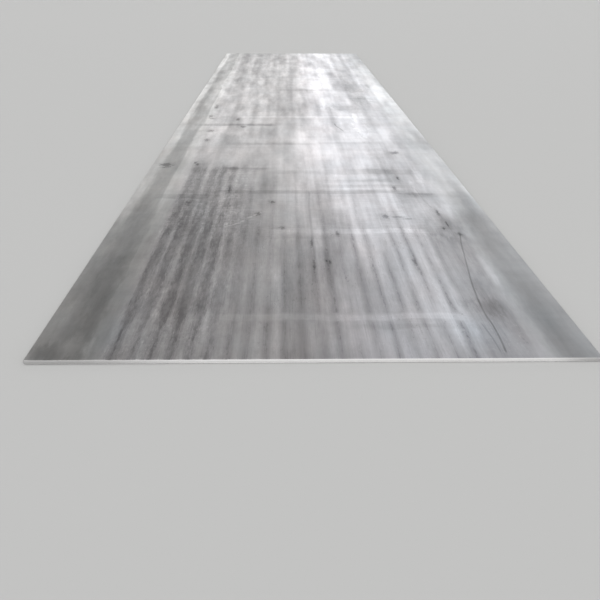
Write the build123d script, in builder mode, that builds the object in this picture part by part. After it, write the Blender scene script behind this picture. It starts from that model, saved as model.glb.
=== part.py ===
from build123d import *
import os

# Hot-rolled steel plate, descaled: one rolled piece, cut to a stock length.
# Millimetres. +Y is the rolling direction, +X crosses the plate and +Z is up.
# The origin is the middle of the bottom face, on which the plate rests.

# The plate as it is sold
plate_width = 1250.0
plate_length = 6000.0
plate_thickness = 10.0

# Long edges, as the rolls left them: squeezed out to a shallow bulge between blunt corners
edge_bulge = 1.2           # how far the mid-height stands out past the two corners
edge_corner_radius = 1.5   # between the bulge and each flat face

# Cut ends. One stroke of the shear drags one face down over the blade, burnishes a
# straight band below it and tears the rest, so the tear slopes back to the other face.
rollover_run = 2.4         # distance from the end at which the dragged face starts to dip
rollover_depth = 0.9       # how far it has dipped where the burnished band begins
burnish_height = 3.2       # straight band rubbed by the blade's flank
tear_run = 0.8             # how far the tear slopes back: the gap between the two blades
tear_hollow = 0.15         # how deeply the torn surface is dished along that slope
tear_lip_break = 0.4       # sharp lip where the tear meets the face, rubbed blunt

# The four corners in plan, blunted by handling
corner_radius = 3.0

half_width = plate_width / 2
half_length = plate_length / 2
mid_height = plate_thickness / 2
edge_corner_x = half_width - edge_bulge

# Lengthwise section of one half, about the plate's centre: x runs along the plate, y is
# height from mid-thickness. Its end is cut from above.
with BuildSketch() as half_length_section:
    burnish_top = mid_height - rollover_depth
    burnish_foot = burnish_top - burnish_height
    tear_lip = (tear_run - half_length, -mid_height)
    with BuildLine():
        EllipticalCenterArc(
            center=(rollover_run - half_length, burnish_top),
            x_radius=rollover_run,
            y_radius=rollover_depth,
            start_angle=90,
            arc_size=90,
        )
        Line((-half_length, burnish_top), (-half_length, burnish_foot))
        SagittaArc((-half_length, burnish_foot), tear_lip, tear_hollow)
        Polyline(
            tear_lip,
            (0, -mid_height),
            (0, mid_height),
            (rollover_run - half_length, mid_height),
        )
    make_face()
    lip = half_length_section.vertices().sort_by_distance((*tear_lip, 0))[0]
    chamfer(lip, tear_lip_break)

with BuildPart() as steel_plate:
    # Section across the rolling direction, run from the far end to the near one
    with BuildSketch(Plane.XZ.offset(-half_length)) as rolled_section:
        with BuildLine():
            Line((-edge_corner_x, plate_thickness), (edge_corner_x, plate_thickness))
            ThreePointArc(
                (edge_corner_x, plate_thickness), (half_width, mid_height), (edge_corner_x, 0)
            )
            Line((edge_corner_x, 0), (-edge_corner_x, 0))
            ThreePointArc(
                (-edge_corner_x, 0), (-half_width, mid_height), (-edge_corner_x, plate_thickness)
            )
        make_face()
        fillet(rolled_section.vertices(), edge_corner_radius)
    extrude(amount=plate_length)

    # Both ends. The shear parts each plate from the next one, so the far end is the near
    # end turned over: its dragged edge is below and its torn lip above.
    left_side = Plane(origin=(-half_width, 0, mid_height), x_dir=(0, 1, 0), z_dir=(1, 0, 0))
    with BuildSketch(left_side):
        with PolarLocations(radius=0, count=2):
            add(half_length_section.sketch)
    extrude(amount=plate_width, mode=Mode.INTERSECT)

    # Outline in plan
    with BuildSketch(Plane.XY):
        RectangleRounded(plate_width, plate_length, corner_radius)
    extrude(amount=plate_thickness, mode=Mode.INTERSECT)

os.makedirs("parts", exist_ok=True)
steel_plate.part.label = "steel_plate"
export_step(steel_plate.part, "parts/steel_plate.step")

bounds = steel_plate.part.bounding_box()
print(f"steel_plate: {bounds.size.X:.2f} x {bounds.size.Y:.2f} x {bounds.size.Z:.2f} mm")
print(f"volume {steel_plate.part.volume / 1e9:.6f} m3, {len(steel_plate.faces())} faces")
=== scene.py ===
# %% [markdown]
# # A hot-rolled steel plate, seen from its cut end
#
# The object is one piece of stock: a plate 1.25 m wide, 6 m long and 10 mm thick. It was
# rolled hot, sprayed clean of scale, left with its rolled long edges and sheared to length.
# Its shape is simple, so the looks come from three finishes: the rolled face with its
# lengthwise spray streaks, the blunt rolled edge, and the bright sheared end.
#
# Everything here is in metres. The plate lies along Y with its near end at -Y, and rests on
# the floor at Z = 0.

import math

import bmesh
import bpy
from mathutils import Matrix, Vector


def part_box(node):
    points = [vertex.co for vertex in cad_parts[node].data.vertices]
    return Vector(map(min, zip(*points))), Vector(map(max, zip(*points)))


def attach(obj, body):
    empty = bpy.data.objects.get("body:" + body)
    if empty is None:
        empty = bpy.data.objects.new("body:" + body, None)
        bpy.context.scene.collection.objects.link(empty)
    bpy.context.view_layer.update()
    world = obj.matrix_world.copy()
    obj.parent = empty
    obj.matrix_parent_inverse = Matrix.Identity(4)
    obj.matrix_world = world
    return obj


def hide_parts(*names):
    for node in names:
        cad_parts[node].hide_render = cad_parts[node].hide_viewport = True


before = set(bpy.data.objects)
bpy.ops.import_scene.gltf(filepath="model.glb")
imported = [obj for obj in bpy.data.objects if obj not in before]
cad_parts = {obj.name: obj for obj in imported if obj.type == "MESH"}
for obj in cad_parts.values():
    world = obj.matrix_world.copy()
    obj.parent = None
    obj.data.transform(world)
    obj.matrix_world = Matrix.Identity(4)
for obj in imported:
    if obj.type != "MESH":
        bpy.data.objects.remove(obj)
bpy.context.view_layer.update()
low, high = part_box("steel_plate")
plate_width, plate_length, plate_thickness = high - low
half_width, half_length = plate_width / 2, plate_length / 2
print(f"plate {plate_width:.3f} x {plate_length:.3f} x {plate_thickness:.4f} m")

# %% [markdown]
# ## The camera
#
# A photograph of a flat rectangle gives away where it was taken from. Where the long sides
# would meet gives the direction along the plate, how fast they close in gives the height of
# the lens, and how much the far end is foreshortened gives the focal length. These values
# put all four corners of the plate within two pixels of where the photograph shows them.

# %% Camera
camera_place = Vector((-0.062, -4.353, 0.775))
camera_tilt = math.radians(24.80)     # below the horizon
camera_turn = math.radians(-1.22)     # away from the plate's own direction, to the right
camera_roll = math.radians(0.29)
frame_width = 36.0                    # millimetres
focal_length = 43.3                   # millimetres
farthest_seen = 200.0

camera_data = bpy.data.cameras.new("camera")
camera_data.sensor_width = frame_width
camera_data.lens = focal_length
camera_data.clip_end = farthest_seen
camera = bpy.data.objects.new("camera", camera_data)
camera.matrix_world = (
    Matrix.Translation(camera_place)
    @ Matrix.Rotation(camera_turn, 4, "Z")
    @ Matrix.Rotation(math.pi / 2 - camera_tilt, 4, "X")
    @ Matrix.Rotation(camera_roll, 4, "Z")
)
bpy.context.collection.objects.link(camera)
bpy.context.scene.camera = camera
print(f"camera {camera_place.z:.2f} m up, {-half_length - camera_place.y:.2f} m before the plate")

# %% [markdown]
# ## Modelling by selection
#
# The plate starts as a block and is shaped as one would by hand: cut rings round it, pick a
# ring, push it in. In a script the picking is done by a rule on place or direction, so one
# small function clears the selection and selects whatever the rule says.

# %% A function that selects by rule
def choose(kind, rule):
    """Selects the vertices, edges or faces for which the rule holds, and nothing else."""
    bpy.ops.mesh.select_mode(type=kind)
    bpy.ops.mesh.select_all(action="DESELECT")
    mesh = bmesh.from_edit_mesh(bpy.context.object.data)
    chosen = 0
    for item in {"VERT": mesh.verts, "EDGE": mesh.edges, "FACE": mesh.faces}[kind]:
        if rule(item):
            item.select_set(True)
            chosen += 1
    mesh.select_flush_mode()
    bmesh.update_edit_mesh(bpy.context.object.data)
    return chosen


nearly_all = 0.999             # of an edge's length, when it lies along an axis


def runs_along(edge, axis):
    """True for an edge that lies along the given axis, 0 for X, 1 for Y or 2 for Z."""
    run = edge.verts[1].co - edge.verts[0].co
    return abs(run[axis]) > nearly_all * run.length


# %% [markdown]
# ## The section of the edges
#
# Two things shape the rim of such a plate. The rolls squeeze the long edges out into a
# shallow bulge with blunt corners. The shear drags one face of each cut end down in a
# rounded shoulder, rubs a straight band below it and tears the rest, so the tear slopes back
# to the other face. Both are a depth below the outermost line that depends on the height,
# so each is one formula, and the same rings round the block serve them both.

# %% Heights and insets of the rim
edge_bulge = 0.0012            # mid-height of a rolled edge past its two corners
edge_corner = 0.0015           # radius of those corners
rollover_run = 0.0024          # how far from the end the dragged face starts to dip
rollover_depth = 0.0009        # how far it has dipped where the rubbed band begins
burnish_height = 0.0032        # the rubbed band
tear_run = 0.0008              # how far the tear slopes back
tear_hollow = 0.00015          # how deeply the tear is dished along that slope
lip_break = 0.0004             # the torn lip, rubbed blunt

rollover_shares = (0.0, 0.12, 0.35, 0.65, 1.0)
burnish_foot = rollover_depth + burnish_height
tear_height = plate_thickness - burnish_foot
tear_shares = (0.25, 0.5, 0.75)
end_depths = [rollover_depth * share for share in rollover_shares]
end_depths += [burnish_foot] + [burnish_foot + tear_height * share for share in tear_shares]
end_depths += [plate_thickness - lip_break]


def rolled_edge_inset(height):
    """How far a long edge lies inside the plate's full width at that height."""
    from_middle = 2 * height / plate_thickness - 1
    to_face = min(height, plate_thickness - height)
    corner_rise = max(edge_corner - to_face, 0)
    corner = edge_corner - math.sqrt(edge_corner**2 - corner_rise**2)
    return edge_bulge * from_middle**2 + corner


def sheared_end_inset(depth):
    """How far a cut end lies inside the full length, at a depth below the dragged face."""
    if depth < rollover_depth:
        rise = 1 - depth / rollover_depth
        return rollover_run * (1 - math.sqrt(1 - rise**2))
    if depth <= burnish_foot:
        return 0.0
    down = (depth - burnish_foot) / tear_height
    lip = max(depth - (plate_thickness - lip_break), 0)
    return tear_run * down + 4 * tear_hollow * down * (1 - down) + lip


ring_heights = sorted(
    {round(depth, 6) for depth in end_depths}
    | {round(plate_thickness - depth, 6) for depth in end_depths}
)
ring_heights = [height for height in ring_heights if 0 < height < plate_thickness]
print("rings at", [f"{height * 1000:.2f}" for height in ring_heights], "mm")

# %% [markdown]
# ## The block
#
# A cube is added at the plate's size, and every ring is one bisect. Its faces are then cut
# into squares, finer at the two ends, where the tear has relief of its own. The squares keep
# every later step local: a moved vertex changes only its own little field.

# %% Start the block and cut it up
field = 0.025                  # side of a square on the faces
end_columns_per_field = 5      # columns of the cut ends, 5 mm wide
touch = 1e-6                   # how near to a plane a vertex counts as on it

bpy.ops.object.select_all(action="DESELECT")
bpy.ops.mesh.primitive_cube_add(
    size=1,
    location=(0, 0, plate_thickness / 2),
    scale=(plate_width, plate_length, plate_thickness),
)
plate = bpy.context.object
plate.name = "rolled_plate"
bpy.ops.object.transform_apply(location=True, rotation=True, scale=True)
bpy.ops.object.mode_set(mode="EDIT")
for height in ring_heights:
    bpy.ops.mesh.select_all(action="SELECT")
    bpy.ops.mesh.bisect(plane_co=(0, 0, height), plane_no=(0, 0, 1))
for axis, size in ((0, plate_width), (1, plate_length)):
    choose("EDGE", lambda edge: runs_along(edge, axis))
    bpy.ops.mesh.subdivide(number_cuts=round(size / field) - 1)


def on_end(vertex):
    return abs(vertex.co.y) > half_length - touch


choose("EDGE", lambda edge: runs_along(edge, 0) and all(on_end(v) for v in edge.verts))
bpy.ops.mesh.subdivide(number_cuts=end_columns_per_field - 1, ngon=True)
print(len(plate.data.vertices), "vertices before shaping")

# %% Push each ring in to its section
levels = [0.0] + ring_heights + [plate_thickness]
for level in levels:
    for side in (-1, 1):
        dragged_face = plate_thickness if side < 0 else 0.0
        for axis, reach, inset in (
            (0, half_width, rolled_edge_inset(level)),
            (1, half_length, sheared_end_inset(abs(dragged_face - level))),
        ):
            choose(
                "VERT",
                lambda v: abs(v.co.z - level) < touch and abs(v.co[axis] - side * reach) < touch,
            )
            push = Vector((0, 0, 0))
            push[axis] = -side * inset
            bpy.ops.transform.translate(value=push)
print(len(levels), "levels pushed in to the section")

# %% Blunt the four corners
corner_reach = 0.004           # the corner's own vertices lie within this of both sides
corner_blunt = 0.0022          # how far from the corner the rounding starts
corner_steps = 3
corner_edges = choose(
    "EDGE",
    lambda edge: all(
        abs(v.co.x) > half_width - corner_reach and abs(v.co.y) > half_length - corner_reach
        for v in edge.verts
    ),
)
bpy.ops.mesh.bevel(offset=corner_blunt, segments=corner_steps)
print(corner_edges, "corner edges rounded")

# %% [markdown]
# ## Relief of the rim
#
# Neither rim is as straight as a drawing. The rolled edge wanders in and out by a few tenths
# of a millimetre along its length, and the tear is grainy. Both are a Displace modifier that
# acts on a named group of vertices. Its middle level of 1 means that the texture can only
# push inwards, so the plate never grows past its size.

# %% Groups for the relief
end_reach = 0.004              # a cut end's vertices lie within this of the full length
rolled_reach = 0.0015          # a long edge's lie within this of its bulge
torn_margin = 0.0004           # the relief starts this far below the rubbed band
groups = {}


def keep_group(name, rule):
    count = choose("VERT", rule)
    bpy.ops.object.vertex_group_assign_new()
    groups[name] = plate.vertex_groups[-1].name
    print(f"{name}: {count} vertices")


def is_torn(vertex):
    """True on the torn part of a cut end, but not on its boundary."""
    depth = plate_thickness - vertex.co.z if vertex.co.y < 0 else vertex.co.z
    return (
        abs(vertex.co.y) > half_length - end_reach
        and depth > burnish_foot + torn_margin
        and abs(vertex.co.x) < half_width - end_reach
    )


keep_group("torn", is_torn)
keep_group("rolled", lambda v: abs(v.co.x) > half_width - edge_bulge - rolled_reach)
bpy.ops.object.mode_set(mode="OBJECT")

# %% Push the groups in
# the group, the size of its dents and how deep they go
rim_reliefs = (("torn", 0.006, 0.0004), ("rolled", 0.35, 0.0008))
for name, size, depth in rim_reliefs:
    texture = bpy.data.textures.new(name, "CLOUDS")
    texture.noise_scale = size
    dents = plate.modifiers.new(name, "DISPLACE")
    dents.texture = texture
    dents.texture_coords = "LOCAL"
    dents.vertex_group = groups[name]
    dents.strength = depth
    dents.mid_level = 1.0
    bpy.ops.object.modifier_apply(modifier=name)
box_corners = [tuple(round(c, 4) for c in corner) for corner in plate.bound_box]
print(len(plate.data.vertices), "vertices, from", box_corners[0], "to", box_corners[6])

# %% [markdown]
# ## Finishes: sums on sockets
#
# A procedural finish is arithmetic on where a point lies. Wiring Math nodes by hand hides
# that arithmetic, so a socket is wrapped in a small class: adding or multiplying wrapped
# sockets adds the Math nodes. Every other node comes from one method.

# %% A wrapped socket
class Wire:
    """An output socket. Arithmetic on it adds Math nodes; node() adds any other node."""

    def __init__(self, tree, socket):
        self.tree = tree
        self.socket = socket
        self.stretched = {}

    def node(self, kind, settings=None, sockets=None, output=0):
        made = self.tree.nodes.new(kind)
        for name, value in (settings or {}).items():
            if name == "curve_points":
                line = made.mapping.curves[0].points
                for point in value[1:-1]:
                    line.new(*point)
                line[0].location, line[len(line) - 1].location = value[0], value[-1]
                for point in line:
                    point.handle_type = "AUTO_CLAMPED"
                made.mapping.update()
            else:
                setattr(made, name, value)
        for name, value in (sockets or {}).items():
            if isinstance(value, Wire):
                self.tree.links.new(value.socket, made.inputs[name])
            else:
                made.inputs[name].default_value = value
        return Wire(self.tree, made.outputs[output])

    def math(self, operation, first, second=0.0):
        return self.node("ShaderNodeMath", {"operation": operation}, {0: first, 1: second})

    def __add__(self, other):
        return self.math("ADD", self, other)

    def __sub__(self, other):
        return self.math("SUBTRACT", self, other)

    def __rsub__(self, other):
        return self.math("SUBTRACT", other, self)

    def __mul__(self, other):
        return self.math("MULTIPLY", self, other)

    def __truediv__(self, other):
        return self.math("DIVIDE", self, other)

    __radd__ = __add__
    __rmul__ = __mul__

    def least(self, other):
        return self.math("MINIMUM", self, other)

    def most(self, other):
        return self.math("MAXIMUM", self, other)

    def size(self):
        return self.math("ABSOLUTE", self)

    def whole(self):
        return self.math("ROUND", self)

    def ease(self, start, end):
        """0 before start, 1 after end, and a smooth step between. start may be the larger."""
        return self.node(
            "ShaderNodeMapRange",
            {"interpolation_type": "SMOOTHSTEP"},
            {"Value": self, "From Min": start, "From Max": end},
        )

    def band(self, start, end, soft):
        """1 between start and end, and a smooth step of twice soft at either of them."""
        return self.ease(start - soft, start + soft) * self.ease(end + soft, end - soft)


# %% Places, grain and spots
def new_finish(name):
    """A material with one Principled shader; returns it, its shader and the point's place."""
    material = bpy.data.materials.new(name)
    material.use_nodes = True
    tree = material.node_tree
    shader = next(n for n in tree.nodes if n.type == "BSDF_PRINCIPLED")
    place = Wire(tree, tree.nodes.new("ShaderNodeTexCoord").outputs["Object"])
    return material, shader, place


def parts_of(place):
    """The X, Y and Z of a place, as three wires."""
    split = place.node("ShaderNodeSeparateXYZ", sockets={0: place}).socket.node
    return [Wire(place.tree, output) for output in split.outputs]


stretches = (0.3, 1.0, 2.5, 5.0, 10.0, 40.0, 160.0)
noise_origin = (3.1, 4.7, 2.3)         # away from the plate, where all sizes would agree


def grain(place, across, along, detail=2.0, rough=0.5):
    """Noise from 0 to 1 whose spots are about across by along, in metres.

    Noises of one stretch read one shared place, which keeps the shader small."""
    stretch = min(stretches, key=lambda known: abs(math.log(along / across / known)))
    if stretch not in place.stretched:
        place.stretched[stretch] = place.node(
            "ShaderNodeVectorMath",
            {"operation": "MULTIPLY_ADD"},
            {0: place, 1: (1, 1 / stretch, 1), 2: noise_origin},
        )
    spots_per_metre = 1 / math.sqrt(across * along / stretch)
    return place.node(
        "ShaderNodeTexNoise",
        sockets={
            "Vector": place.stretched[stretch],
            "Scale": spots_per_metre,
            "Detail": detail,
            "Roughness": rough,
        },
    )


def profile(wire, points):
    """A curve drawn through given points (place, change), clipped at -0.5 and 0.5."""
    start, end = points[0][0], points[-1][0]
    drawn = [((at - start) / (end - start), 0.5 + change) for at, change in points]
    return wire.node(
        "ShaderNodeFloatCurve",
        {"curve_points": drawn},
        {"Value": (wire - start) / (end - start)},
    ) - 0.5


def spot_field(place, spots):
    """How far a point is from the nearest spot, each an ellipse (x, y, half width, half length):
    0 at its middle and 1 on its rim."""
    nearest = None
    for x, y, half_across, half_along in spots:
        offset = place.node(
            "ShaderNodeVectorMath",
            {"operation": "MULTIPLY_ADD"},
            {
                0: place,
                1: (1 / half_across, 1 / half_along, 0),
                2: (-x / half_across, -y / half_along, 0),
            },
        )
        distance = place.node(
            "ShaderNodeVectorMath", {"operation": "LENGTH"}, {0: offset}, output=1
        )
        nearest = distance if nearest is None else nearest.least(distance)
    return nearest


def tint(shader, socket, wire):
    wire.tree.links.new(wire.socket, shader.inputs[socket])


def grey(tone, redder, bluer):
    """A grey of that tone, with its red and its blue raised by these shares."""
    return tone.node(
        "ShaderNodeCombineColor", sockets={0: tone * (1 + redder), 1: tone, 2: tone * (1 + bluer)}
    )


# %% [markdown]
# ## The rolled face: spray streaks
#
# Before the last passes, a row of nozzles sprays the hot plate clean of scale. Each jet
# leaves one dark streak, so the streaks stand at the nozzles' pitch, run dead straight and
# stop short of the two margins. Rounding the place across the plate to whole pitches gives
# every point the number of its streak and the distance from that streak's middle line.
#
# On the right the streaks are thin. Noise that reads the streak's number is the same right
# across one streak, so each gets widths and breaks of its own along the length. On the left
# they are broad and ragged and run together. There a width for each number would end in a
# straight cut halfway to the next streak, so their width follows noise on the place instead.

# %% The face, and what its streaks share
streak_pitch = 0.0417
first_streak = -0.441          # place across the plate
face, face_shader, place = new_finish("rolled_face")
x, y = parts_of(place)[:2]

left_part = x.ease(-0.12, -0.27)                  # 1 where the streaks are broad
past_end = 0.40 + 0.60 * y.ease(-2.88, -2.72)     # the broad ones begin thin at the cut end
sway = (grain(place, 0.3, 0.35) - 0.5) * 0.012    # how far they stray from a straight line
ragged = grain(place, 0.005, 0.045, detail=6.0, rough=0.75) - 0.5
unbroken = grain(place, 0.006, 0.030, detail=4.0, rough=0.7).ease(0.36, 0.56)
blotches = grain(place, 0.020, 0.080, detail=6.0, rough=0.70).ease(0.38, 0.60)
print("streaks at a pitch of", streak_pitch, "m,", len(face.node_tree.nodes), "nodes so far")

# %% A streak's number and its noise
number_step = 3.7              # so far apart, two streaks' noises have nothing in common


def nearest_streak(first):
    """The nearest streak's number, and the distance from its middle line."""
    count = (x + sway - first) / streak_pitch
    number = count.whole()
    return number, (count - number).size() * streak_pitch


def streak_noise(number, length, seed):
    """Noise from 0 to 1 that drifts along each streak and differs from one to the next."""
    spot = number.node(
        "ShaderNodeCombineXYZ", sockets={0: number * number_step, 1: y / length, 2: seed}
    )
    return spot.node("ShaderNodeTexNoise", sockets={"Vector": spot, "Scale": 1.0, "Detail": 2.0})


# %% Thin streaks
thin_raggedness = 0.009        # how far the edges jump in and out
thin_softness = 0.0016
thin_halo_reach = 0.010
thin_halo_share = 0.52
breadth_length = 0.26          # a streak's breadth changes over about this length
gap_length = 0.50              # and its gaps over this
gap_seed = 9


def fine_streaks(first, half_breadth, seed):
    """Thin streaks, 0 to 1, each with widths and gaps of its own."""
    number, from_middle = nearest_streak(first)
    breadth = half_breadth * (-0.1 + 2.2 * streak_noise(number, breadth_length, seed))
    from_edge = from_middle + thin_raggedness * ragged - breadth
    core = from_edge.ease(thin_softness, -thin_softness) * (0.35 + 0.65 * unbroken)
    present = streak_noise(number, gap_length, seed + gap_seed).ease(0.26, 0.62)
    return core.most(thin_halo_share * from_edge.ease(thin_halo_reach, 0.0)) * present


# %% Broad streaks
broad_raggedness = 0.040
broad_halo_reach = 0.012
broad_halo_share = 0.40
broad_rim = (0.004, -0.005)    # from none to all of a streak, past its edge
gap_rim = (0.002, 0.010)       # from none to all of the gap beside it


def broad_streaks(first, half_breadth):
    """Broad ragged streaks that run together in places, and the clear gaps between, 0 to 1."""
    from_middle = nearest_streak(first)[1]
    drift = grain(place, 0.040, 0.40, detail=4.0, rough=0.6)
    ragged_middle = from_middle + broad_raggedness * ragged
    from_edge = ragged_middle - half_breadth * past_end * (-0.5 + 3.2 * drift)
    core = from_edge.ease(*broad_rim)
    core = core.most(broad_halo_share * from_edge.ease(broad_halo_reach, 0.0))
    strength = 0.65 + 0.35 * grain(place, 0.050, 0.25).ease(0.36, 0.58)
    clear = grain(place, 0.035, 0.14, detail=4.0, rough=0.65).ease(0.42, 0.60)
    return core * strength, from_edge.ease(*gap_rim) * clear


# %% All the streaks
thin_half_breadth = 0.0030
pale_half_breadth = 0.0060
broad_half_breadth = 0.0125
first_gap = first_streak + streak_pitch / 2
broad_gap_share = 1.5

broad_dark, broad_gaps = broad_streaks(first_streak, broad_half_breadth)
thin_dark = fine_streaks(first_streak, thin_half_breadth, seed=3.0)
dark_streaks = thin_dark * (1 - left_part) + broad_dark * left_part
dark_streaks = dark_streaks * (0.45 + 0.55 * blotches)
thin_light = fine_streaks(first_gap, pale_half_breadth, seed=31.0)
light_streaks = thin_light * (1 - left_part) + broad_gap_share * broad_gaps * left_part
hair_lines = grain(place, 0.0035, 0.14, detail=3.0).ease(0.58, 0.70)
print("streaks done,", len(face.node_tree.nodes), "nodes so far")

# %% [markdown]
# ## The rolled face: zones and bars
#
# The streaks are strong on the first metre and a half and fade beyond a line across the
# plate. Between the sprayed part and each long edge lies a smooth margin. A zone is a smooth
# step, and a little noise on the place frays it.
#
# Narrow bars run across where the hot plate stopped on the rollers or was wiped. Each bar
# reaches over part of the width only, so the width is divided into strips. All the bars of a
# strip are one curve along the plate, because a curve is one node however many bars it holds.

# %% Zones
cloud = grain(place, 0.09, 0.40, detail=5.0, rough=0.6) - 0.5
broad_cloud = grain(place, 0.20, 1.50, detail=2.0) - 0.5
long_bands = grain(place, 0.075, 2.60, detail=2.0) - 0.5
cross_bands = grain(place, 0.35, 0.070, detail=4.0, rough=0.65) - 0.5
frayed_x = x + (grain(place, 0.02, 0.10, detail=3.0) - 0.5) * 0.03
frayed_y = y + (grain(place, 0.08, 0.02, detail=3.0) - 0.5) * 0.05

left_fade = (-1.31, -1.44)     # where the broad streaks set in, along the plate
right_fade = (-1.05, -1.85)    # where the thin ones set in, faintly
lined_fade = (-2.04, -2.22)    # where the thin ones turn strong
sprayed_sides = (-0.458, 0.480)
sprayed_softness = 0.008
dull_sides = (-0.455, 0.02)    # scale left between the broad streaks dulls the face here
dull_softness = 0.03

near_zone = (frayed_y + cloud * 0.22).ease(*left_fade) * (0.65 + 0.35 * y.ease(-1.65, -2.10))
near_fade = (frayed_y + cloud * 0.6).ease(*right_fade)
lined_zone = (frayed_y + cloud * 0.20).ease(*lined_fade)
zone = near_zone * left_part + (0.40 * near_fade + 0.60 * lined_zone) * (1 - left_part)
dull_zone = near_zone * x.band(*dull_sides, dull_softness) * (1 - 0.8 * y.ease(-1.85, -2.45))
sprayed = frayed_x.band(*sprayed_sides, sprayed_softness)
print("zones done,", len(face.node_tree.nodes), "nodes so far")

# %% Bars across
# each strip: its left and right edge, its bars near the cut end, and its bars farther on;
# each bar: start and end along the plate, and how much lighter
strips = (
    (
        (-0.52, -0.33),
        ((-1.815, -1.760, -0.22),),
        ((-0.500, -0.445, -0.30),),
    ),
    (
        (-0.33, -0.12),
        ((-2.812, -2.775, 0.08), (-1.755, -1.712, -0.20), (-1.405, -1.370, -0.20)),
        ((-0.960, -0.905, -0.16), (-0.500, -0.445, -0.34), (-0.275, -0.235, 0.18),
         (1.300, 1.400, -0.06)),
    ),
    (
        (-0.12, 0.08),
        ((-2.812, -2.775, 0.19), (-2.245, -2.215, -0.10), (-2.195, -2.150, 0.14),
         (-1.755, -1.712, -0.22), (-1.470, -1.420, -0.12)),
        ((-0.960, -0.905, -0.18), (-0.275, -0.235, 0.20), (0.680, 0.750, -0.08),
         (1.300, 1.400, -0.06)),
    ),
    (
        (0.08, 0.37),
        ((-2.860, -2.832, -0.10), (-2.812, -2.775, 0.22), (-2.195, -2.150, 0.20),
         (-1.755, -1.712, -0.22), (-1.698, -1.675, 0.12), (-1.658, -1.642, -0.10),
         (-1.628, -1.605, 0.10), (-1.590, -1.560, -0.12), (-1.480, -1.400, -0.13)),
        ((-0.930, -0.890, -0.10), (-0.275, -0.235, 0.18), (0.680, 0.750, -0.10)),
    ),
    (
        (0.37, 0.49),
        ((-2.195, -2.155, 0.05), (-1.800, -1.750, -0.15), (-1.480, -1.400, -0.10)),
        ((0.340, 0.400, -0.14),),
    ),
)
near_range = (-3.0, -1.3)
far_range = (-1.3, 3.0)
bar_soft_along = 0.006
bar_soft_across = 0.04
wiped_bar = (-2.815, -2.770)   # the bar that was wiped clean of streaks too
wiped_sides = (-0.18, 0.40)
wiped_softness = 0.009


def bars_along(wire, span, bars):
    """Bars along the wire as one curve, 0 between them."""
    points = [(span[0], 0.0)]
    for start, end, change in bars:
        points.append((start - bar_soft_along, 0.0))
        points.append((start + bar_soft_along, change))
        points.append((end - bar_soft_along, change))
        points.append((end + bar_soft_along, 0.0))
    return profile(wire, points + [(span[1], 0.0)])


# the bars fray half as much as the zones, and their ends swing a little
bar_y = 0.5 * (y + frayed_y) + (grain(place, 0.14, 5.6) - 0.5) * 0.03
bar_sum = 0.0
for (left, right), near_bars, far_bars in strips:
    strip = bars_along(bar_y, near_range, near_bars) + bars_along(bar_y, far_range, far_bars)
    bar_sum = strip * x.band(left, right, bar_soft_across) + bar_sum
bar_sum = bar_sum * (0.30 + 1.4 * grain(place, 0.045, 0.03, detail=4.0, rough=0.65))
wiped = bar_y.band(*wiped_bar, wiped_softness) * x.band(*wiped_sides, bar_soft_across)
print(len(strips), "strips of bars,", len(face.node_tree.nodes), "nodes so far")

# %% [markdown]
# ## The rolled face: margins, patches and flecks
#
# Across the plate the tone changes in bands that run its whole length: the rims, the smooth
# margins, the sprayed part. They change slowly on the way, so the bands are drawn as four
# curves across, and each holds on its own part of the length. The middle and far curves also
# hold painted sheen: their light bands on the left rim, beside the left margin and right of
# the middle are painted highlights. On top lie broad patches, each a kind of ellipse with a
# ragged rim, and the small flecks of scale that noise makes best.

# %% Margins, long bands and painted sheen
# place across the plate and how much lighter, for the near third, the middle, the far half,
# and what the last part adds to the far half's
near_profile = (
    (-0.660, -0.33), (-0.612, -0.33), (-0.598, -0.38), (-0.580, -0.42), (-0.560, -0.47),
    (-0.515, -0.47), (-0.500, -0.30), (-0.472, -0.23), (-0.445, -0.11), (-0.400, -0.13),
    (-0.200, -0.14), (-0.100, -0.03), (-0.040, 0.06), (0.080, 0.06), (0.150, 0.03),
    (0.360, 0.04), (0.395, -0.16), (0.480, -0.17), (0.495, 0.0), (0.512, -0.04),
    (0.535, -0.22), (0.560, -0.30), (0.660, -0.33),
)
# painted sheen, fainter than far off: the light left rim and the light band right of the middle
middle_bands_and_sheen = (
    (-0.660, 0.30), (-0.602, 0.30), (-0.582, 0.02), (-0.565, -0.22), (-0.515, -0.22),
    (-0.500, 0.12), (-0.470, 0.12), (-0.450, 0.04), (-0.200, -0.02), (-0.070, -0.04),
    (-0.020, 0.06), (0.020, 0.27), (0.120, 0.27), (0.160, 0.12), (0.210, 0.06), (0.300, 0.07),
    (0.360, 0.0), (0.450, -0.03), (0.470, 0.10), (0.530, 0.10), (0.570, 0.02), (0.600, -0.08),
    (0.660, -0.10),
)
# painted sheen: the light left rim, the light line beside the left margin and the light bands
# right of the middle; the grey bands are the finish
far_bands_and_sheen = (
    (-0.660, 0.60), (-0.602, 0.60), (-0.585, 0.28), (-0.565, -0.07), (-0.515, -0.07),
    (-0.500, 0.26), (-0.475, 0.30), (-0.450, 0.12), (-0.330, 0.10), (-0.200, -0.04),
    (0.000, -0.04), (0.050, 0.12), (0.080, 0.38), (0.170, 0.38), (0.200, 0.25), (0.300, 0.24),
    (0.360, 0.06), (0.390, -0.06), (0.455, -0.02), (0.480, 0.16), (0.560, 0.13), (0.600, 0.0),
    (0.660, -0.05),
)
# towards the far end this takes much of the painted sheen off the left part again
last_bands_and_sheen = (
    (-0.660, -0.56), (-0.600, -0.56), (-0.560, -0.34), (-0.500, -0.40), (-0.300, -0.35),
    (-0.200, -0.14), (0.040, -0.12), (0.080, -0.04), (0.360, -0.04), (0.400, 0.0), (0.660, 0.0),
)

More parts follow.
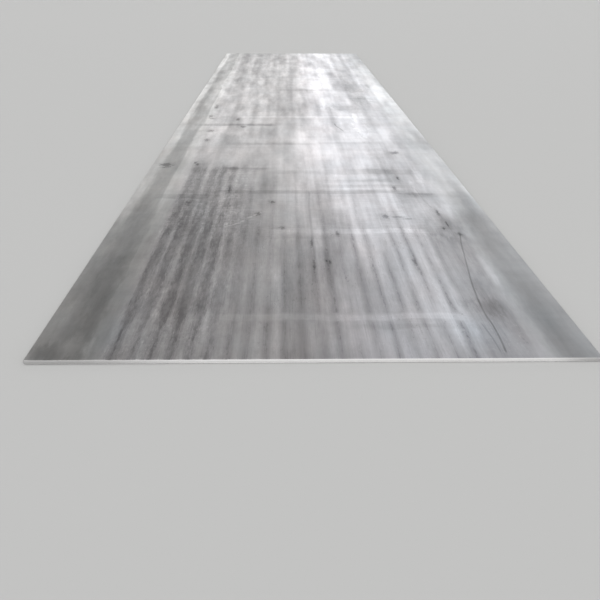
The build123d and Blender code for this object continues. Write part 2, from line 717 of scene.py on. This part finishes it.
near_third = (-1.60, -2.25)    # from none of a curve to all of it, along the plate
far_half = (-0.90, -0.20)
last_part = (0.30, 1.40)
band_x = x + (grain(place, 0.05, 0.6, detail=4.0, rough=0.6) - 0.5) * 0.06
band_y = y + (grain(place, 0.065, 0.33, detail=3.0) - 0.5) * 0.8
near_share = (frayed_y + cloud * 0.5).ease(*near_third)
far_share = band_y.ease(*far_half)
end_share = band_y.ease(*last_part)
middle_share = 1 - near_share - far_share
# the finish's bands, with the painted sheen of the middle and far curves
lengthwise_bands_and_sheen = profile(frayed_x, near_profile) * near_share
lengthwise_bands_and_sheen = lengthwise_bands_and_sheen + profile(band_x, middle_bands_and_sheen) * middle_share
lengthwise_bands_and_sheen = lengthwise_bands_and_sheen + profile(band_x, far_bands_and_sheen) * far_share
lengthwise_bands_and_sheen = lengthwise_bands_and_sheen + profile(band_x, last_bands_and_sheen) * end_share
print("margins and bands done,", len(face.node_tree.nodes), "nodes so far")

# %% Broad patches
# how much lighter, and the spots: middle across and along, half width and half length
patches = (
    (-0.30, (
        (-0.275, -1.385, 0.025, 0.03),
        (-0.43, -1.42, 0.015, 0.05),
    )),
    (-0.19, (
        (-0.59, -2.97, 0.04, 0.05),
        (0.43, -2.745, 0.045, 0.045),
        (0.43, -2.14, 0.075, 0.10),
        (0.31, -1.44, 0.055, 0.05),
        (0.43, -1.765, 0.06, 0.022),
        (0.28, 0.03, 0.09, 0.10),
        (0.42, 0.30, 0.06, 0.16),
        (0.42, 0.82, 0.06, 0.26),
        (0.10, 0.68, 0.03, 0.07),
        (-0.518, 2.38, 0.020, 0.12),
        (-0.485, 1.77, 0.022, 0.09),
        (-0.415, 1.20, 0.026, 0.08),
        (0.517, 0.90, 0.018, 0.08),
    )),
    (-0.10, (
        (-0.31, -2.45, 0.10, 0.30),
        (-0.42, -2.10, 0.05, 0.40),
        (-0.54, -2.60, 0.030, 0.22),
        (0.42, -2.45, 0.06, 0.26),
        (-0.06, -2.35, 0.05, 0.09),
        (-0.02, -2.58, 0.11, 0.34),
        (0.28, -1.58, 0.05, 0.035),
        (0.395, -1.55, 0.045, 0.16),
        (-0.10, 0.04, 0.20, 0.20),
        (0.40, 1.35, 0.04, 0.20),
        (0.25, 1.50, 0.10, 0.16),
        (0.23, 2.24, 0.06, 0.30),
    )),
    (0.10, (
        (-0.37, -1.05, 0.10, 0.36),
        (0.20, -1.00, 0.16, 0.50),
        (0.400, -1.92, 0.045, 0.07),
        (0.100, -1.90, 0.060, 0.12),
        (-0.60, -2.78, 0.020, 0.10),
        (-0.59, -2.35, 0.018, 0.10),
        (-0.40, -0.60, 0.06, 0.28),
    )),
    (0.23, (
        (-0.38, -2.73, 0.012, 0.10),
        (-0.53, -2.94, 0.035, 0.06),
        (0.502, -2.50, 0.010, 0.15),
        (0.495, -1.97, 0.022, 0.09),
        (0.474, -1.52, 0.016, 0.12),
        (0.335, -0.48, 0.035, 0.32),
    )),
)
patch_rim = (1.5, 0.4)         # from none to all of a patch, in its half widths
ragged_patch = (cloud + (blotches - 0.5) * 0.5) * 1.2
patch_sum = 0.0
for change, spots in patches:
    patch_sum = (spot_field(place, spots) + ragged_patch).ease(*patch_rim) * change + patch_sum
print(len(patches), "kinds of patches,", len(face.node_tree.nodes), "nodes so far")

# %% Flecks and flakes
# flecks are a few millimetres long, flakes some centimetres; the mottle is everywhere
cross_range = (-2.20, -1.40)
cross_softness = 0.12
flaked_part = sprayed * (0.15 + 0.85 * zone)
fleck_field = grain(place, 0.10, 0.22, detail=3.0).ease(0.46, 0.62)      # where pale ones crowd
pale_flecks = grain(place, 0.0045, 0.014, detail=4.0, rough=0.7).ease(0.56, 0.66)
pale_flecks = pale_flecks * fleck_field * flaked_part * (0.35 + 0.65 * left_part)
dark_field = grain(place, 0.09, 0.16, detail=3.0).ease(0.50, 0.64)       # where dark ones do
dark_flecks = grain(place, 0.0050, 0.020, detail=5.0, rough=0.75).ease(0.57, 0.67)
dark_flecks = dark_flecks * dark_field * flaked_part
cross_part = y.band(*cross_range, cross_softness) * flaked_part
cross_flecks = grain(place, 0.030, 0.012, detail=5.0, rough=0.7) - 0.5
pale_flakes = grain(place, 0.016, 0.034, detail=5.0, rough=0.7).ease(0.53, 0.64)
pale_flakes = pale_flakes * left_part * cross_part
mottle = grain(place, 0.013, 0.030, detail=6.0, rough=0.72) - 0.5
far_mottle = grain(place, 0.050, 0.28, detail=3.0, rough=0.6) - 0.5
cross_marks = grain(place, 0.11, 0.09, detail=4.0, rough=0.65).ease(0.56, 0.70)
print("flecks done,", len(face.node_tree.nodes), "nodes so far")

# %% [markdown]
# ## The rolled face: pressed-in scale and scratches
#
# Flakes of scale that the spray missed were rolled into the face as dark lens-shaped specks,
# longer along the plate than across it. The long scratches came later, from handling, and
# wander. Their lines are given as points: a curve gives the scratch's place across the plate
# for every place along it.

# %% Specks
# place across and along, half width and half length
specks = (
    (-0.473, 0.063, 0.010, 0.060),
    (-0.480, -0.236, 0.010, 0.040),
    (-0.466, -0.300, 0.014, 0.014),
    (-0.322, -0.328, 0.010, 0.030),
    (-0.284, -0.530, 0.014, 0.020),
    (-0.442, -0.632, 0.012, 0.018),
    (-0.442, -0.843, 0.010, 0.030),
    (-0.449, -1.294, 0.007, 0.016),
    (-0.437, -1.319, 0.006, 0.014),
    (-0.409, -1.870, 0.009, 0.030),
    (-0.273, -1.700, 0.0055, 0.034),
    (-0.110, -1.859, 0.008, 0.014),
    (-0.156, -1.997, 0.009, 0.015),
    (-0.074, -2.143, 0.008, 0.011),
    (0.430, -1.112, 0.018, 0.022),
    (0.384, -1.545, 0.0045, 0.022),
    (0.352, -1.685, 0.006, 0.028),
    (0.274, -2.026, 0.012, 0.020),
    (0.313, -2.034, 0.018, 0.005),
    (0.345, -2.054, 0.016, 0.004),
    (0.459, -1.985, 0.0045, 0.028),
    (0.448, -2.150, 0.0040, 0.012),
    (0.467, -2.110, 0.0025, 0.028),
    (0.488, -2.206, 0.0055, 0.016),
    (0.306, -2.445, 0.005, 0.026),
    (0.054, -2.431, 0.0030, 0.008),
    (0.018, -2.470, 0.0035, 0.040),
    (0.017, -2.290, 0.0035, 0.035),
    (0.064, -2.440, 0.0030, 0.016),
    (0.100, -2.200, 0.006, 0.016),
)
speck_rim = (1.6, 0.1)         # from none to all of a speck, in its half widths
halo_rim = (3.6, 0.8)
warp = grain(place, 0.007, 0.018, detail=5.0, rough=0.70) - 0.5
speck_field = spot_field(place, specks) + warp * 4.0
speck = speck_field.ease(*speck_rim)
halo = speck_field.ease(*halo_rim)
print(len(specks), "specks,", len(face.node_tree.nodes), "nodes so far")

# %% The stain in the left margin
stain_spot = (-0.5625, -1.331, 0.030, 0.040)
stain_rim = (1.2, 0.3)
stain_shape = warp * 1.6 + (grain(place, 0.025, 0.03, detail=3.0) - 0.5) * 2.4
stain_field = spot_field(place, (stain_spot,)) + stain_shape
stain = stain_field.ease(*stain_rim)
print("stain at", stain_spot[:2])

# %% A scratch through given points
scratch_core = 0.3             # share of its breadth over which a scratch is fully dark
scratch_fade = 0.01            # length over which it starts and ends


def scratch(points, half_breadth):
    """A thin line through given points (x, y), listed along the plate: 0 to 1."""
    start, end = points[0][1], points[-1][1]
    left = min(point[0] for point in points)
    breadth = max(point[0] for point in points) - left
    drawn = [((py - start) / (end - start), (px - left) / breadth) for px, py in points]
    line = y.node(
        "ShaderNodeFloatCurve",
        {"curve_points": drawn},
        {"Value": (y - start) / (end - start)},
    )
    from_line = (x - left - line * breadth).size()
    dark = from_line.ease(half_breadth, half_breadth * scratch_core)
    return dark * y.band(start, end, scratch_fade)


# %% Scratches
long_scratch = scratch(
    (
        (0.420, -2.975),
        (0.424, -2.907),
        (0.425, -2.848),
        (0.422, -2.792),
        (0.428, -2.662),
        (0.448, -2.483),
        (0.461, -2.384),
        (0.471, -2.306),
        (0.488, -2.206),
    ),
    half_breadth=0.0034,
)
far_scratch = scratch(
    ((0.235, -0.640), (0.224, -0.580), (0.206, -0.500), (0.200, -0.440)),
    half_breadth=0.005,
)
second_scratch = scratch(
    ((0.409, -2.975), (0.408, -2.922), (0.405, -2.880), (0.400, -2.832)),
    half_breadth=0.0026,
)
lone_line = scratch(
    ((0.022, -2.420), (0.021, -2.163), (0.020, -2.009), (0.027, -1.734)),
    half_breadth=0.0055,
)
corner_line = scratch(
    ((0.450, -1.930), (0.438, -1.850), (0.434, -1.760), (0.430, -1.690)),
    half_breadth=0.0045,
)
print("scratches drawn,", len(face.node_tree.nodes), "nodes so far")

# %% The drag mark, and all the dark lines
# a scratch is worn thin in places, and the drag mark is a chain of bright dents
worn = 0.45 + 0.75 * grain(place, 0.02, 0.05, detail=3.0)
drag_points = ((-0.255, -2.130), (-0.215, -2.090), (-0.175, -2.020), (-0.140, -1.975))
drag_chain = grain(place, 0.014, 0.014, detail=2.0).ease(0.38, 0.55)
drag_mark = scratch(drag_points, half_breadth=0.009) * drag_chain
second_share = 0.6             # the fainter scratches, against the long one
lone_share = 0.50
corner_share = 0.35
dark_lines = long_scratch.most(far_scratch).most(second_scratch * second_share)
dark_lines = dark_lines.most(lone_line * lone_share).most(corner_line * corner_share) * worn
print("scratches done,", len(face.node_tree.nodes), "nodes so far")

# %% [markdown]
# ## The rolled face: all together
#
# The tone starts from a light grey and every mark takes a share from it or adds one. Along
# with the tone goes the roughness, since scale is duller than bare metal. A height for the
# Bump node comes last: scale stands a few hundredths of a millimetre proud of bare metal,
# specks and scratches are pits, and the whole face is a little wavy, which is what bends the
# light that a flat plate would mirror too evenly.

# %% Where the streaks and the textures show
rolling_lines = grain(place, 0.0022, 0.35, detail=2.0) - 0.5
broad_lines = grain(place, 0.014, 0.9, detail=3.0) - 0.5
streak_strength = sprayed * (0.08 + 0.92 * zone) * (1 - 0.6 * wiped)
streak_strength = streak_strength * frayed_x.ease(0.405, 0.370)
darkening = dark_streaks * streak_strength
lightening = light_streaks * streak_strength
far_part = y.ease(-1.8, -0.6)
print("streaks placed,", len(face.node_tree.nodes), "nodes so far")

# %% How strongly each mark shows
# the share of the tone that it takes away, a depth, or adds, a gain
left_tone = 0.36
right_gain = 0.11
streak_depth = 0.46
broad_streak_depth = 0.12      # on top of the other, for the broad ones
pale_streak_gain = 0.18
dull_depth = 0.17
cloud_gain = 1.1
far_cloud_loss = 0.75          # taken off that gain far away
broad_cloud_gain = 1.0
far_broad_cloud_loss = 0.35
long_band_gain = 0.6
cross_band_gain = 0.30
far_margin_sheen_gain = 0.11
rolling_line_gain = 0.20
broad_line_gain = 0.45
far_mottle_gain = 0.55
cross_mark_depth = 0.10
hair_line_depth = 0.14
pale_fleck_gain = 0.38
dark_fleck_depth = 0.36
cross_fleck_gain = 0.70
left_cross_fleck_gain = 0.60   # on top, among the broad streaks
mottle_gain = 0.20
left_mottle_gain = 0.60
pale_flake_gain = 0.30
speck_depth = 0.34
far_speck_relief = 0.12        # taken off that depth far away
halo_depth = 0.14
stain_depth = 0.55
scratch_depth = 0.50
drag_gain = 0.13
print("streaks take", streak_depth, "of the tone, flecks", dark_fleck_depth)

# %% Tone
tone = left_tone + right_gain * x.ease(-0.12, 0.30)
tone = tone * (1 - (streak_depth + broad_streak_depth * left_part) * darkening)
tone = tone * (1 + pale_streak_gain * lightening)
tone = tone * (1 + bar_sum + patch_sum + lengthwise_bands_and_sheen)
tone = tone * (1 - dull_depth * dull_zone)
cloud_share = (cloud_gain - far_cloud_loss * far_part) * (1 - 0.4 * x.ease(0.50, 0.56))
tone = tone * (
    1
    + cloud_share * cloud
    + (broad_cloud_gain - far_broad_cloud_loss * far_part) * broad_cloud
)
tone = tone * (1 + long_band_gain * long_bands + cross_band_gain * cross_bands)
# painted sheen: the left margin lighter on the far half
tone = tone * (1 + far_margin_sheen_gain * far_part * x.ease(-0.45, -0.52))
line_share = (0.30 + 0.70 * sprayed) * (1 - 0.75 * far_part)
line_texture = rolling_line_gain * rolling_lines + broad_line_gain * broad_lines
tone = tone * (1 + line_texture * line_share)
far_texture = far_part * (0.45 + 0.55 * x.ease(0.15, -0.15))
tone = tone * (1 + far_mottle_gain * far_texture * far_mottle)
tone = tone * (1 - cross_mark_depth * far_texture * cross_marks)
mottle_strength = mottle_gain + left_mottle_gain * left_part
tone = tone * (1 + mottle_strength * mottle * (0.3 + 0.7 * flaked_part))
tone = tone * (1 - hair_line_depth * hair_lines * sprayed * zone)
tone = tone * (1 + pale_fleck_gain * pale_flecks) * (1 - dark_fleck_depth * dark_flecks)
cross_strength = cross_fleck_gain + left_cross_fleck_gain * left_part
tone = tone * (1 + cross_strength * cross_flecks * cross_part)
tone = tone * (1 + pale_flake_gain * pale_flakes)
tone = tone * (1 - speck * (speck_depth - far_speck_relief * far_part))
tone = tone * (1 - halo_depth * halo) * (1 - stain_depth * stain)
tone = tone * (1 - scratch_depth * dark_lines) + drag_gain * drag_mark
print("tone done,", len(face.node_tree.nodes), "nodes so far")

# %% Tint
# the left margin is a little yellow, the sprayed left part reddish, the right half and two
# spots at the cut end bluish
blued_spots = ((-0.465, -2.87, 0.035, 0.10), (0.39, -2.87, 0.06, 0.08))
left_margin_end = (-0.50, -0.44)
tint_patches = grain(place, 0.10, 0.25, detail=3.0) - 0.5
blued = (spot_field(place, blued_spots) + cloud).ease(1.5, 0.3)
redder = 0.012 + 0.020 * x.ease(*left_margin_end) - 0.034 * x.ease(0.0, 0.3)
redder = redder - 0.020 * x.ease(0.46, 0.54) + 0.10 * tint_patches
redder = redder + 0.016 * darkening - 0.025 * blued
bluer = -0.020 + 0.024 * x.ease(*left_margin_end) + 0.050 * x.ease(-0.15, 0.25)
bluer = bluer - 0.020 * x.ease(0.46, 0.56) - 0.05 * tint_patches
bluer = bluer + 0.020 * darkening + 0.020 * blued
tint(face_shader, "Base Color", grey(tone, redder, bluer))
print("tint done,", len(face.node_tree.nodes), "nodes so far")

# %% Gloss
bare_roughness = 0.35
streak_roughness = 0.08        # this and the next two come on top of the bare metal's
speck_roughness = 0.3
stain_roughness = 0.1
pale_gloss = 0.10              # this and the next are taken off where the metal is paler
cloud_gloss = 0.22
least_roughness = 0.29
face_shader.inputs["Metallic"].default_value = 1.0
roughness = bare_roughness + streak_roughness * darkening
roughness = roughness + speck_roughness * speck + stain_roughness * stain
roughness = roughness - pale_gloss * (bar_sum + patch_sum + 0.5 * lengthwise_bands_and_sheen)
roughness = roughness - cloud_gloss * cloud
roughness = roughness - far_part * (0.20 * long_bands + 0.18 * broad_cloud + 0.20 * far_mottle)
roughness = roughness.most(least_roughness)
tint(face_shader, "Roughness", roughness)
print("roughness is nowhere under", least_roughness)

# %% Relief
scale_height = 0.00003
line_height = 0.000008
speck_pit = 0.0001
scratch_pit = 0.00006
wave_height = 0.0020
waves = grain(place, 0.60, 0.28, detail=1.0)
height = (
    darkening * scale_height
    + rolling_lines * line_height
    - speck * speck_pit
    - dark_lines * scratch_pit
    + waves * wave_height
)
relief = height.node("ShaderNodeBump", sockets={"Height": height, "Distance": 1.0})
tint(face_shader, "Normal", relief)
print(len(face.node_tree.nodes), "nodes in the rolled face")

# %% [markdown]
# ## The rolled edge and the sheared end
#
# The long edges keep the duller skin of the rolling. The sheared end is fresh metal. The band
# that the blade rubbed is smooth, with fine upright lines. The torn band is grainy, and the
# line between the two wanders. Bright torn and rubbed steel scatters light rather than
# mirroring it, so the end is only partly metallic.

# %% Rolled edge
edge_grey = 0.34
edge_line_gain = 0.20
edge_scale_depth = 0.35
edge_roughness = 0.45
edge_unevenness = 0.3
edge, edge_shader, edge_place = new_finish("rolled_edge")
edge_tone = edge_grey + edge_line_gain * (grain(edge_place, 0.004, 0.06, detail=4.0) - 0.5)
edge_scale = grain(edge_place, 0.01, 0.03, detail=3.0).ease(0.5, 0.7)
edge_tone = edge_tone * (1 - edge_scale_depth * edge_scale)
tint(edge_shader, "Base Color", grey(edge_tone, 0.02, -0.02))
edge_shader.inputs["Metallic"].default_value = 1.0
uneven_roughness = edge_roughness + edge_unevenness * (grain(edge_place, 0.003, 0.04) - 0.5)
tint(edge_shader, "Roughness", uneven_roughness)
print(len(edge.node_tree.nodes), "nodes in the rolled edge")

# %% Sheared end: where it is rubbed and where torn
rub_line_width = 0.0006
tear_line_softness = 0.0003
tear_line_wander = 0.0030
cut, cut_shader, cut_place = new_finish("sheared_end")
cut_x, cut_y, cut_z = parts_of(cut_place)
mid_height = plate_thickness / 2
depth = (cut_z - mid_height) * cut_y.math("SIGN", cut_y) + mid_height
wander = (grain(cut_place, 0.012, 0.012, detail=4.0, rough=0.6) - 0.5) * tear_line_wander
torn = (depth + wander).ease(
    burnish_foot - tear_line_softness, burnish_foot + tear_line_softness
)
rub_lines = cut_place.node(
    "ShaderNodeTexNoise",
    {"noise_dimensions": "1D"},
    {"W": cut_x / rub_line_width, "Scale": 1.0, "Detail": 3.0},
) - 0.5
tear_grain = grain(cut_place, 0.0015, 0.0015, detail=4.0, rough=0.7) - 0.5
print(f"torn from {burnish_foot * 1000:.1f} mm below the dragged face")

# %% Sheared end: tone, gloss and relief
rubbed_tone = 0.90
torn_tone = 0.78
rub_line_height = 0.00002
tear_grain_height = 0.0002
left_end_shade = (-0.20, -0.55)     # where painted shade darkens the end towards its left corner
right_end_shade = (0.50, 0.61)
left_end_shade_depth = 0.42
right_end_shade_depth = 0.38
cut_metal = 0.45               # how metallic, and what the tear takes from that
tear_metal_loss = 0.20
cut_roughness = 0.36
tear_roughness = 0.22          # on top, where torn
rub_line_roughness = 0.1
# painted shade: the end is darkened towards both its corners
end_shade = cut_x.ease(*left_end_shade) * left_end_shade_depth + cut_x.ease(*right_end_shade) * right_end_shade_depth
cut_tone = (rubbed_tone + 0.15 * rub_lines) * (1 - torn) + (torn_tone + 0.40 * tear_grain) * torn
cut_tone = cut_tone * (1 - end_shade)
tint(cut_shader, "Base Color", grey(cut_tone, 0.008, -0.008))
tint(cut_shader, "Metallic", cut_metal - tear_metal_loss * torn)
tint(
    cut_shader,
    "Roughness",
    cut_roughness + tear_roughness * torn + rub_line_roughness * rub_lines,
)
cut_height = rub_lines * (1 - torn) * rub_line_height + tear_grain * torn * tear_grain_height
tint(
    cut_shader,
    "Normal",
    cut_height.node("ShaderNodeBump", sockets={"Height": cut_height, "Distance": 1.0}),
)
print(len(cut.node_tree.nodes), "nodes in the sheared end")

# %% Give each field of the plate its finish
squarely = 0.7                 # a field faces an axis when its normal has this much of it
smooth_angle = 30
for material in (face, edge, cut):
    plate.data.materials.append(material)
bpy.ops.object.mode_set(mode="EDIT")
for slot_index, axis, finish in ((1, 0, edge), (2, 1, cut)):
    fields = choose("FACE", lambda f: abs(f.normal[axis]) > squarely)
    plate.active_material_index = slot_index
    bpy.ops.object.material_slot_assign()
    print(fields, "fields of", finish.name)
bpy.ops.object.mode_set(mode="OBJECT")
bpy.ops.object.shade_smooth_by_angle(angle=math.radians(smooth_angle))
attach(plate, "root")
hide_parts("steel_plate")

# %% [markdown]
# ## Floor and light
#
# A flat metal face shows little but what it reflects. A wide low light beyond the far end
# gives the bright sheen that grows towards the distance, an even sky fills the rest, and a
# second light from the camera's side picks out the cut end.

# %% Floor
floor_size = 120.0
floor_colour = (0.48, 0.48, 0.475, 1)
floor_roughness = 0.9
floor_shine = 0.1
bpy.ops.mesh.primitive_plane_add(size=floor_size, location=(0, 0, 0))
floor = bpy.context.object
floor.name = "floor"
floor_material, floor_shader = new_finish("floor")[:2]
floor_shader.inputs["Base Color"].default_value = floor_colour
floor_shader.inputs["Roughness"].default_value = floor_roughness
floor_shader.inputs["Specular IOR Level"].default_value = floor_shine
floor.data.materials.append(floor_material)
print("floor", floor_size, "m wide")

# %% Lights
def soft_sun(name, azimuth, elevation, spread, strength):
    """Even light from a wide patch of sky. Azimuth 0 is beyond the far end, 90 is at +X."""
    lamp = bpy.data.lights.new(name, "SUN")
    lamp.angle = math.radians(spread)
    lamp.energy = strength
    source = bpy.data.objects.new(name, lamp)
    around, up = math.radians(azimuth), math.radians(elevation)
    towards = Vector((
        math.sin(around) * math.cos(up), math.cos(around) * math.cos(up), math.sin(up)
    ))
    source.rotation_euler = towards.to_track_quat("Z", "Y").to_euler()
    bpy.context.collection.objects.link(source)


# azimuth, elevation and spread in degrees, then the strength
soft_sun("far_light", 6, 3, 32, 0.21)
soft_sun("right_light", 34, 26, 40, 0.14)
soft_sun("high_light", -60, 56, 40, 0.9)
soft_sun("near_light", 180, 14, 104, 1.6)
print(len(bpy.data.lights), "lights")

# %% Sky
horizon_glow = 1.0
middle_sky = 0.46
top_sky = 0.80
white = (1.0, 1.0, 1.0, 1)
glow_rim = (24, 12)            # degrees up: no glow above the first, all of it below the second
top_rim = (34, 56)
world = bpy.data.worlds.new("sky")
world.use_nodes = True
sky_tree = world.node_tree
background = sky_tree.nodes["Background"]
background.inputs["Color"].default_value = white
toward = Wire(sky_tree, sky_tree.nodes.new("ShaderNodeTexCoord").outputs["Generated"])
sine = parts_of(toward)[2]
low_band = sine.ease(*(math.sin(math.radians(angle)) for angle in glow_rim))
high_band = sine.ease(*(math.sin(math.radians(angle)) for angle in top_rim))
sky_strength = middle_sky + (horizon_glow - middle_sky) * low_band
sky_strength = sky_strength + (top_sky - middle_sky) * high_band
sky_tree.links.new(sky_strength.socket, background.inputs["Strength"])
bpy.context.scene.world = world
bpy.context.scene.view_settings.view_transform = "Standard"
print("sky from", middle_sky, "to", horizon_glow, "at the horizon and", top_sky, "overhead")
